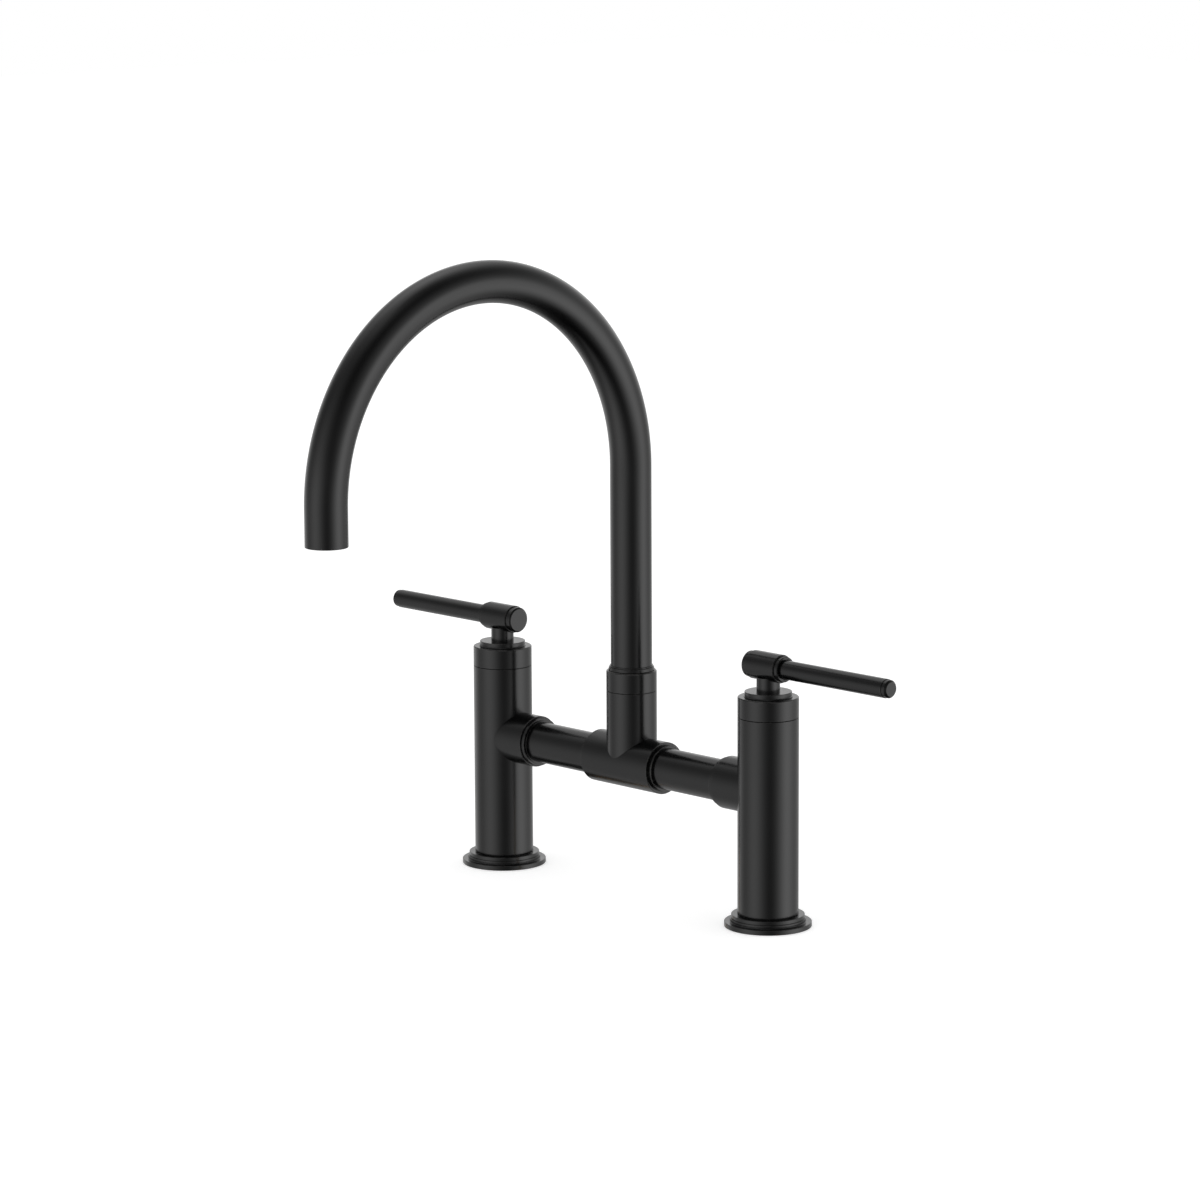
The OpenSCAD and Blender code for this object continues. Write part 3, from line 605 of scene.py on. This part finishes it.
capSizes = {"radius": 15.875, "grooveIn": 1.6, "grooveTop": 0.34, "edge": 0.6, "lowerEdge": 0.12,
            "stubBore": 9.05, "plate": 2.5, "spindleBore": 4.3}


# Once round the section: the groove below, the outside, the top, the spindle's hole and the room inside
def capOutline(c):
    r, g = c["radius"], postTop + c["grooveTop"]
    return outline(
        (c["stubBore"], postTop), (r - c["grooveIn"], postTop), (r - c["grooveIn"], g),
        (r, g, c["lowerEdge"]), (r, capTop, c["edge"]), (c["spindleBore"], capTop),
        (c["spindleBore"], capTop - c["plate"]), (c["stubBore"], capTop - c["plate"]), closed=True)


for sideName, way in sides:
    addPiece(sideName + "Cap", [turned(capOutline(capSizes), upright(way * postX * mm))], "root",
             "black_coating", sideName + "_cap")
print("caps made")


# Bridge pipes and their rings

bridgeSizes = {
    "pipe": 10.925, "pipeWall": 1.5, "postShoulder": 16.0, "teeShoulder": 12.6,
    "postRing": {"start": 28.5, "radius": 13.1, "width": 2.2, "lip": 11.95, "lipWidth": 0.6, "edge": 0.3},
    "teeRing": {"start": 25.1, "radius": 12.35, "width": 2.2, "lip": 0.0, "lipWidth": 0.0, "edge": 0.3},
    "tail": 12.25, "tailLength": 5.9, "fit": 0.05, "lipEdge": 0.1,
}


# Once round the section: the tail in its socket, the ring outside it and, on a post's ring, a thin lip
def ringOutline(b, r):
    bore = b["pipe"] + b["fit"]
    start, end = r["start"], r["start"] + r["width"]
    front = [(r["radius"], end, r["edge"])]
    if r["lip"]:
        lipEnd = end + r["lipWidth"]
        front += [(r["lip"], end), (r["lip"], lipEnd, b["lipEdge"]), (bore, lipEnd)]
    else:
        front += [(bore, end)]
    return outline((bore, start - b["tailLength"]), (b["tail"], start - b["tailLength"]), (b["tail"], start),
                   (r["radius"], start), *front, closed=True)


def alongBridge(x, way):
    return straight((x * mm, 0, postSizes["bridge"] * mm), way * along["x"], along["y"])


def bridgePieces(b):
    pipeEnd = postX - b["teeShoulder"]
    tube = outline((b["pipe"] - b["pipeWall"], b["postShoulder"]), (b["pipe"], b["postShoulder"]),
                   (b["pipe"], pipeEnd), (b["pipe"] - b["pipeWall"], pipeEnd), closed=True)
    for sideName, way in sides:
        addPiece(sideName + "Pipe", [turned(tube, alongBridge(way * postX, -way))], "root", "black_coating",
                 sideName + "_bridge_pipe")
    postRing, teeRing = ringOutline(b, b["postRing"]), ringOutline(b, b["teeRing"])
    addPiece("postRings", [turned(postRing, alongBridge(way * postX, -way)) for _, way in sides],
             "root", "black_coating", "branch_rings")
    addPiece("teeRings", [turned(teeRing, alongBridge(0, way)) for _, way in sides],
             "root", "black_coating", "tee_rings")


bridgePieces(bridgeSizes)
print("bridge made")


# Tee with its upright

teeSizes = {
    "radius": 13.9, "end": 25.1, "edge": 0.3, "band": 16.0, "upright": 13.425, "topEdge": 0.12,
    "collarThread": 12.25, "stemFloor": 99.6, "stemRoom": 9.95, "stemRoomFloor": 82.1,
    "bore": 8.0, "riserBore": 7.7, "innerBand": 10.5, "boreShown": 1.0,
}


# The run lies level with an end and its socket either way, and the upright stands on the middle of it.
def teePatches(t, p):
    bridge = p["bridge"]
    cross = ((0, 0, bridge * mm), along["x"], along["z"])
    outer = crossing(*cross, t["radius"], t["upright"], t["band"])
    inner = crossing(*cross, t["bore"], t["riserBore"], t["innerBand"], inward=True)
    top = postTop - bridge
    roomFloor, stemFloor = t["stemRoomFloor"] - bridge, t["stemFloor"] - bridge
    riser = outline(
        (t["upright"], t["band"]), (t["upright"], top, t["topEdge"]), (t["collarThread"], top),
        (t["collarThread"], stemFloor), (t["stemRoom"], stemFloor), (t["stemRoom"], roomFloor),
        (t["riserBore"], roomFloor), (t["riserBore"], roomFloor - t["boreShown"]))
    patches = [*outer["patches"], *inner["patches"], sideWall(riser, outer, inner)]
    end = t["end"]
    run = outline(
        (t["radius"], t["band"]), (t["radius"], end, t["edge"]), (p["ringSocket"], end),
        (p["ringSocket"], end - p["ringDepth"]), (p["pipeSocket"], end - p["ringDepth"]),
        (p["pipeSocket"], end - p["pipeDepth"]), (t["bore"], end - p["pipeDepth"]),
        (t["bore"], t["innerBand"]))
    for way in (-1, 1):
        path = straight((0, 0, bridge * mm), way * along["x"], along["z"])
        patches.append(turned(run, path, mainTurns() * way))
    return patches


addPiece("teeBody", teePatches(teeSizes, postSizes), "root", "black_coating", "tee")
print("tee made")


# Collar, ring and spout tube

swivelSizes = {"radius": 13.425, "grooveIn": 1.1, "grooveTop": 0.34, "edge": 0.8, "lowerEdge": 0.12,
               "thread": 12.2, "threadLength": 5.2, "bore": 11.25, "bushBore": 11.97, "bushFloor": 1.3,
               "ringFoot": 12.3, "ringTop": 12.0, "ringEdge": 0.2, "ringDrop": 0.1, "ringBore": 10.975,
               "footEdge": 0.1, "slotIn": 11.15, "slot": (-0.25, 0.2), "lip": 11.6, "lipTop": 0.5,
               "lipEdge": 0.15}
spoutSizes = {"tube": 10.95, "wall": 1.6, "bend": 104.64, "bendLevel": 230.7, "foot": 104.0, "outlet": 211.3,
              "endEdge": 0.3, "innerEdge": 0.15, "step": 1.6}
collarTop = high("spout_collar", "z")
ringBottom, ringTop = low("spout_ring", "z"), high("spout_ring", "z")


# Once round the section: the thread below, the groove, the outside, the top and the seat of the bush
def collarOutline(c):
    r, g = c["radius"], postTop + c["grooveTop"]
    bushFloor = postTop + c["bushFloor"]
    return outline(
        (c["bore"], postTop - c["threadLength"]), (c["thread"], postTop - c["threadLength"]),
        (c["thread"], postTop), (r - c["grooveIn"], postTop), (r - c["grooveIn"], g), (r, g, c["lowerEdge"]),
        (r, collarTop, c["edge"]), (c["bushBore"], collarTop), (c["bushBore"], bushFloor),
        (c["bore"], bushFloor), closed=True)


# The ring tapers a little, and a slot parts it from the thin lip at its top.
def swivelRingOutline(c):
    foot = ringBottom - c["ringDrop"]
    slotLow, slotHigh = (ringTop + level for level in c["slot"])
    lipTop = ringTop + c["lipTop"]
    return outline(
        (c["ringBore"], foot), (c["ringFoot"], foot, c["footEdge"]), (c["ringTop"], slotLow, c["ringEdge"]),
        (c["slotIn"], slotLow), (c["slotIn"], slotHigh), (c["lip"], slotHigh, hairEdge),
        (c["lip"], lipTop, c["lipEdge"]), (c["ringBore"], lipTop), closed=True)


# Up from the foot, half a turn over and down to the outlet. On the bend the place goes round a circle of
# the bend's radius about a point level with the bend's ends. The sides stay square to the heading.
def spoutPath(s):
    bend = s["bend"] * mm
    rise = (s["bendLevel"] - s["foot"]) * mm

    def path(height):
        distance = height - s["foot"] * mm
        angle = np.clip((distance - rise) / bend, 0, math.pi)
        over = np.clip(distance - rise - math.pi * bend, 0, None)
        straightUp = np.minimum(distance, rise)
        y = -bend + bend * np.cos(angle)
        z = s["foot"] * mm + straightUp + bend * np.sin(angle) - over
        place = np.stack([np.zeros_like(y), y, z], 1)
        ahead = np.stack([np.zeros_like(y), -np.sin(angle), np.cos(angle)], 1)
        side = np.broadcast_to(along["x"], ahead.shape)
        return place, side, np.cross(ahead, side), ahead

    return path


# A tube with a wall of one thickness, as long as its path
def spoutPieces(s):
    length = s["bendLevel"] - s["foot"] + math.pi * s["bend"] + s["bendLevel"] - s["outlet"]
    inner = s["tube"] - s["wall"]
    top = s["foot"] + length
    tube = outline((inner, s["foot"]), (s["tube"], s["foot"]), (s["tube"], top, s["endEdge"]),
                   (inner, top, s["innerEdge"]), closed=True)
    addPiece("spoutTube", [turned(divided(tube, s["step"]), spoutPath(s), turns(barSteps))], "spout",
             "black_coating", "spout_tube")


addPiece("spoutCollar", [turned(collarOutline(swivelSizes), upright())], "root", "black_coating",
         "spout_collar")
addPiece("swivelRing", [turned(swivelRingOutline(swivelSizes), upright())], "spout", "black_coating",
         "spout_ring")
spoutPieces(spoutSizes)
print("spout made")


# Shanks with their pipe thread

shankSizes = {
    "radius": 10.48, "bore": 7.5, "boreEdge": 0.3, "pitch": 1.814, "depth": 1.1, "flat": 0.17,
    "endEdge": 1.2, "reliefBelowNut": 1.0, "reliefWidth": 1.5, "rows": 10, "columns": 96,
    "bright": 3,            # a crest's wear fades out at this part of the depth, a third
    "slopeStep": 0.01,      # millimetres or radians either way between which a slope is measured
}


# The radius falls from crest to root and back once a pitch, with short flats on both. A point's place in
# the pitch is its height less its share of a turn. A cone at each end and the relief hold the radius down.
def threadRadius(t, height, angle, bottom, top, relief):
    share = np.mod((height - bottom) / t["pitch"] - angle / (2 * math.pi), 1.0)
    slope = np.clip((np.abs(2 * share - 1) - t["flat"]) / (1 - 2 * t["flat"]), 0, 1)
    threaded = t["radius"] - t["depth"] * (3 - 2 * slope) * slope ** 2
    root = t["radius"] - t["endEdge"]
    fromEnd = np.minimum(height - bottom, top - height)
    fromRelief = np.abs(height - relief) - t["reliefWidth"] / 2
    return np.minimum(threaded, root + np.clip(np.minimum(fromEnd, fromRelief), 0, None))


# Each row of the grid winds up with the thread, so it ends one pitch higher than it starts. Rows past
# either end are pressed flat against it, where they fall together with the rim of the end face.
def threadPatch(t, x, bottom, top, relief):
    count = math.ceil((top - bottom) / t["pitch"] * t["rows"]) + t["rows"]
    step = np.arange(t["columns"] + 1)
    place = np.arange(count + 1)[:, None] * t["columns"] + step * t["rows"]
    height = bottom - t["pitch"] + place * t["pitch"] / (t["rows"] * t["columns"])
    height = np.clip(height, bottom, top)
    angle = np.broadcast_to(step * 2 * math.pi / t["columns"], height.shape)

    def radiusAt(height, angle):
        return threadRadius(t, height, angle, bottom, top, relief)

    radius, small = radiusAt(height, angle), t["slopeStep"]
    rise = (radiusAt(height + small, angle) - radiusAt(height - small, angle)) / (2 * small)
    lean = (radiusAt(height, angle + small) - radiusAt(height, angle - small)) / (2 * small * radius)
    outward = np.stack([np.cos(angle), np.sin(angle), 0 * angle], -1)
    forward = np.stack([-np.sin(angle), np.cos(angle), 0 * angle], -1)
    grid = outward * radius[..., None] + height[..., None] * along["z"]
    normals = outward - forward * lean[..., None] - rise[..., None] * along["z"]
    crest = np.clip((radius - t["radius"]) / t["depth"] * t["bright"] + 1, 0, 1)
    return grid * mm + x * mm * along["x"], normals, crest


# The thread is the outside, and one outline makes both ends and the bore.
def shankPieces(t):
    relief = low("lock_nuts", "z") - t["reliefBelowNut"] - t["reliefWidth"] / 2
    for sideName, way in sides:
        bottom, top = low(sideName + "_shank", "z"), high(sideName + "_shank", "z")
        root = t["radius"] - t["endEdge"]
        inside = outline((root, top), (t["bore"], top, t["boreEdge"]), (t["bore"], bottom, t["boreEdge"]),
                         (root, bottom))
        patches = [threadPatch(t, way * postX, bottom, top, relief),
                   turned(inside, upright(way * postX * mm), turns(t["columns"]))]
        addPiece(sideName + "Shank", patches, "root", "brass", sideName + "_shank")


shankPieces(shankSizes)
print("shanks made")


# Handles

handleSizes = {
    "disc": 12.3, "discHeight": 2.45, "discDrop": 0.2, "discFoot": 0.1, "discFlare": 0.35, "discEdge": 0.25,
    "neck": 6.1, "neckEdge": 0.1, "socket": 3.95, "socketRoof": 1.8,
    "screwHeight": 5.0, "screwHole": 1.8, "screwFloor": 3.85, "screwBand": 2.3, "wallShown": 0.2,
    "leverRise": 12.73, "hub": 7.4, "hubHalf": 10.05, "hubBevel": 0.35, "hubBore": 5.0,
    "cap": 6.8, "capWidth": 3.38, "capBevel": 0.75, "capTail": 4.9, "capTailLength": 3.0,
    "collar": 6.6, "collarWidth": 2.38, "collarBevel": 0.3, "mouth": 5.5, "mouthDepth": 1.0,
    "rod": 4.95, "rodStart": -6.95, "rodEnd": 83.2, "rodEdge": 0.2,
    "tip": 4.65, "tipWidth": 3.1, "tipBevel": 1.0, "tipTail": 2.4, "tipTailLength": 5.0, "tipFit": 0.05,
    "seam": 0.3, "seamDepth": 0.75, "bevelEdge": 0.08,
}


# Disc and neck in one, with the grub screw's hole at the back of the neck and the socket for the spindle
def handleBase(h, way):
    x = way * postX * mm
    foot, neckFoot = discBottom - h["discDrop"], discBottom + h["discHeight"]
    flareRadius, flareLow = h["disc"] + h["discFlare"], foot + h["discFoot"]
    neckTop = high("left_handle_base", "z")
    socketRoof = neckTop - h["socketRoof"]
    screw = discBottom + h["screwHeight"]
    hole = crossing((x, 0, screw * mm), along["z"], along["y"], h["neck"], h["screwHole"], h["screwBand"])
    lower = outline(
        (0, socketRoof), (h["socket"], socketRoof), (h["socket"], foot), (flareRadius, foot),
        (flareRadius, flareLow), (h["disc"], flareLow + h["discFlare"], h["discFlare"]),
        (h["disc"], neckFoot, h["discEdge"]), (h["neck"], neckFoot), (h["neck"], screw - h["screwBand"]))
    upper = outline((h["neck"], screw + h["screwBand"]), (h["neck"], neckTop, h["neckEdge"]), (0, neckTop))
    drilled = outline((h["screwHole"], h["screwFloor"] + h["wallShown"]), (h["screwHole"], h["screwFloor"]),
                      (0, h["screwFloor"]))
    path = straight((x, 0, 0), along["z"], along["y"])
    return [*hole["patches"], sideWall(drilled, hole),
            *(turned(shape, path, mainTurns()) for shape in (lower, upper))]


# The two corners of a bevel at a radius and a height. Facing is 1 at a piece's far end and -1 at its near
# end, so that the corners come in the order of their heights.
def bevel(h, radius, height, size, facing):
    pair = [(radius, height - facing * size, h["bevelEdge"]), (radius - size, height, h["bevelEdge"])]
    return pair[::facing]


# The pieces on the lever's line. Heights run outward along it from the post's axis.
def leverShapes(h):
    end = h["hubHalf"]
    capEnd, capTailEnd = -end - h["capWidth"], h["capTailLength"] - end
    collarEnd, mouthFloor = end + h["collarWidth"], end + h["collarWidth"] - h["mouthDepth"]
    tipFoot, tipTailEnd = h["rodEnd"], h["rodEnd"] - h["tipTailLength"]
    tipEnd, seamTop, seamRadius = tipFoot + h["tipWidth"], tipFoot + h["seam"], h["tip"] - h["seamDepth"]
    tailRoom, tailRoomEnd = h["tipTail"] + h["tipFit"], tipTailEnd - h["tipFit"]
    hub = outline(
        (h["hubBore"], -end), *bevel(h, h["hub"], -end, h["hubBevel"], -1),
        *bevel(h, h["hub"], end, h["hubBevel"], 1), (h["hubBore"], end), closed=True)
    hubCap = outline(
        (0, capEnd), *bevel(h, h["cap"], capEnd, h["capBevel"], -1), (h["cap"], -end), (h["capTail"], -end),
        (h["capTail"], capTailEnd), (0, capTailEnd))
    collar = outline(
        (h["hubBore"], end), (h["collar"], end), *bevel(h, h["collar"], collarEnd, h["collarBevel"], 1),
        (h["mouth"], collarEnd), (h["mouth"], mouthFloor), (h["hubBore"], mouthFloor), closed=True)
    rod = outline(
        (0, h["rodStart"]), (h["rod"], h["rodStart"]), (h["rod"], h["rodEnd"], h["rodEdge"]),
        (tailRoom, h["rodEnd"]), (tailRoom, tailRoomEnd), (0, tailRoomEnd))
    tip = outline(
        (0, tipTailEnd), (h["tipTail"], tipTailEnd), (h["tipTail"], tipFoot), (seamRadius, tipFoot),
        (seamRadius, seamTop), (h["tip"], seamTop, hairEdge), *bevel(h, h["tip"], tipEnd, h["tipBevel"], 1),
        (0, tipEnd))
    return (("Hub", "_hub", hub), ("HubCap", "_hub_cap", hubCap), ("LeverCollar", "_lever_collar", collar),
            ("Lever", "_lever", rod), ("LeverTip", "_lever_tip", tip))


# The lever's pieces are turned about a level line out from the post, the base about the post's own axis.
def handlePieces(h, sideName, way):
    level = (discBottom + h["discHeight"] + h["leverRise"]) * mm
    path = straight((way * postX * mm, 0, level), way * along["x"], along["y"])
    body = sideName + "_handle"
    for pieceName, nodeName, shape in leverShapes(h):
        patch = turned(shape, path, turns(barSteps))
        addPiece(sideName + pieceName, [patch], body, "black_coating", sideName + nodeName)
    addPiece(sideName + "HandleBase", handleBase(h, way), body, "black_coating", sideName + "_handle_base")


for sideName, way in sides:
    handlePieces(handleSizes, sideName, way)
print("handles made")


# Studio

studio = {
    "floorReach": 6.0, "floorDrop": 0.0002, "floorColour": (0.86, 0.86, 0.86), "floorGlow": 0.5,
    "white": 1.0, "fill": 0.75,
    # Soft panels of light: bearing and height of the middle, how far the panel reaches in bearing and in
    # height, all in degrees, and strength
    "panels": (
        (351, -19, 38, 52, 1.30),
        (116, -20, 36, 26, 2.06),
        (118, 5, 18, 12, 0.92),
        (205, 10, 55, 20, 1.10),
        (238, 56, 60, 22, 1.20),
        (191, -34, 42, 25, 0.59),
        (268, -21, 35, 35, 0.84),
        (320, 84, 160, 20, 0.69),
        (105, 24, 42, 22, 0.43),
        (18, 1, 37, 9, 0.25),
    ),
}


# A square floor just below the deck line. It takes the tap's shadow, and camera rays see it glow a little.
def makeFloor(s):
    reach = s["floorReach"]
    mesh = bpy.data.meshes.new("studioFloor")
    z = deckLevel * mm - s["floorDrop"]
    mesh.from_pydata([(-reach, -reach, z), (reach, -reach, z), (reach, reach, z), (-reach, reach, z)], [],
                     [(0, 1, 2, 3)])
    floor = bpy.data.objects.new("studioFloor", mesh)
    bpy.context.scene.collection.objects.link(floor)
    material = bpy.data.materials.new("studioFloor")
    material.use_nodes = True
    tree = material.node_tree
    tree.nodes.clear()
    out = tree.nodes.new("ShaderNodeOutputMaterial")
    matt = tree.nodes.new("ShaderNodeBsdfDiffuse")
    matt.inputs["Color"].default_value = (*s["floorColour"], 1)
    glow = tree.nodes.new("ShaderNodeEmission")
    ray = tree.nodes.new("ShaderNodeLightPath")
    power = tree.nodes.new("ShaderNodeMath")
    power.operation = "MULTIPLY"
    power.inputs[1].default_value = s["floorGlow"]
    both = tree.nodes.new("ShaderNodeAddShader")
    tree.links.new(ray.outputs["Is Camera Ray"], power.inputs[0])
    tree.links.new(power.outputs[0], glow.inputs["Strength"])
    tree.links.new(matt.outputs[0], both.inputs[0])
    tree.links.new(glow.outputs[0], both.inputs[1])
    tree.links.new(both.outputs[0], out.inputs["Surface"])
    mesh.materials.append(material)
    floor.visible_glossy = False


# The room: white to the camera, an even fill for matt surfaces, and soft panels for shiny ones. A panel's
# strength falls as exp(-(bearing off its middle / reach)^2 - (height off its middle / reach)^2).
def makeRoom(s):
    world = bpy.data.worlds.new("studioRoom")
    bpy.context.scene.world = world
    world.use_nodes = True
    tree = world.node_tree
    tree.nodes.clear()

    def add(kind, operation=None, *inputs):
        node = tree.nodes.new(kind)
        if operation:
            node.operation = operation
        for socket, value in zip(node.inputs, inputs):
            if isinstance(value, bpy.types.NodeSocket):
                tree.links.new(value, socket)
            elif value is not None:
                socket.default_value = value
        return node.outputs[0]

    def number(operation, *inputs):
        return add("ShaderNodeMath", operation, *inputs)

    def vector(operation, *inputs):
        return add("ShaderNodeVectorMath", operation, *inputs)

    toWhere = tree.nodes.new("ShaderNodeSeparateXYZ")
    tree.links.new(tree.nodes.new("ShaderNodeTexCoord").outputs["Generated"], toWhere.inputs[0])
    x, y, z = toWhere.outputs
    bearing = number("ARCTAN2", x, number("MULTIPLY", y, -1.0))
    place = add("ShaderNodeCombineXYZ", None, bearing, number("ARCSINE", z), 0.0)
    # A bearing starts again after half a turn either way. Nothing else gets as far as 9, so it stays.
    wrapHigh, wrapLow = (math.pi, 9, 9), (-math.pi, -9, -9)
    shine = 0.0
    for middle, height, wide, tall, power in s["panels"]:
        centre = (math.radians(middle), math.radians(height), 0)
        away = vector("WRAP", vector("SUBTRACT", place, centre), wrapHigh, wrapLow)
        reached = vector("DIVIDE", away, (math.radians(wide), math.radians(tall), 1))
        square = tree.nodes.new("ShaderNodeVectorMath")
        square.operation = "DOT_PRODUCT"
        tree.links.new(reached, square.inputs[0])
        tree.links.new(reached, square.inputs[1])
        fade = number("EXPONENT", number("MULTIPLY", square.outputs["Value"], -1.0))
        shine = number("MULTIPLY_ADD", fade, power, shine)
    ray = tree.nodes.new("ShaderNodeLightPath")
    mirrored = number("MAXIMUM", ray.outputs["Is Glossy Ray"], ray.outputs["Is Transmission Ray"])
    shown = number("MULTIPLY", ray.outputs["Is Camera Ray"], s["white"])
    extra = number("SUBTRACT", shine, s["fill"])
    filled = number("MULTIPLY_ADD", mirrored, extra, s["fill"])
    others = number("MULTIPLY", number("SUBTRACT", 1.0, ray.outputs["Is Camera Ray"]), filled)
    background = tree.nodes.new("ShaderNodeBackground")
    background.inputs["Color"].default_value = (1, 1, 1, 1)
    tree.links.new(number("ADD", shown, others), background.inputs["Strength"])
    tree.links.new(background.outputs[0], tree.nodes.new("ShaderNodeOutputWorld").inputs["Surface"])


makeFloor(studio)
makeRoom(studio)
bpy.context.scene.view_settings.view_transform = "Standard"
print("studio made")
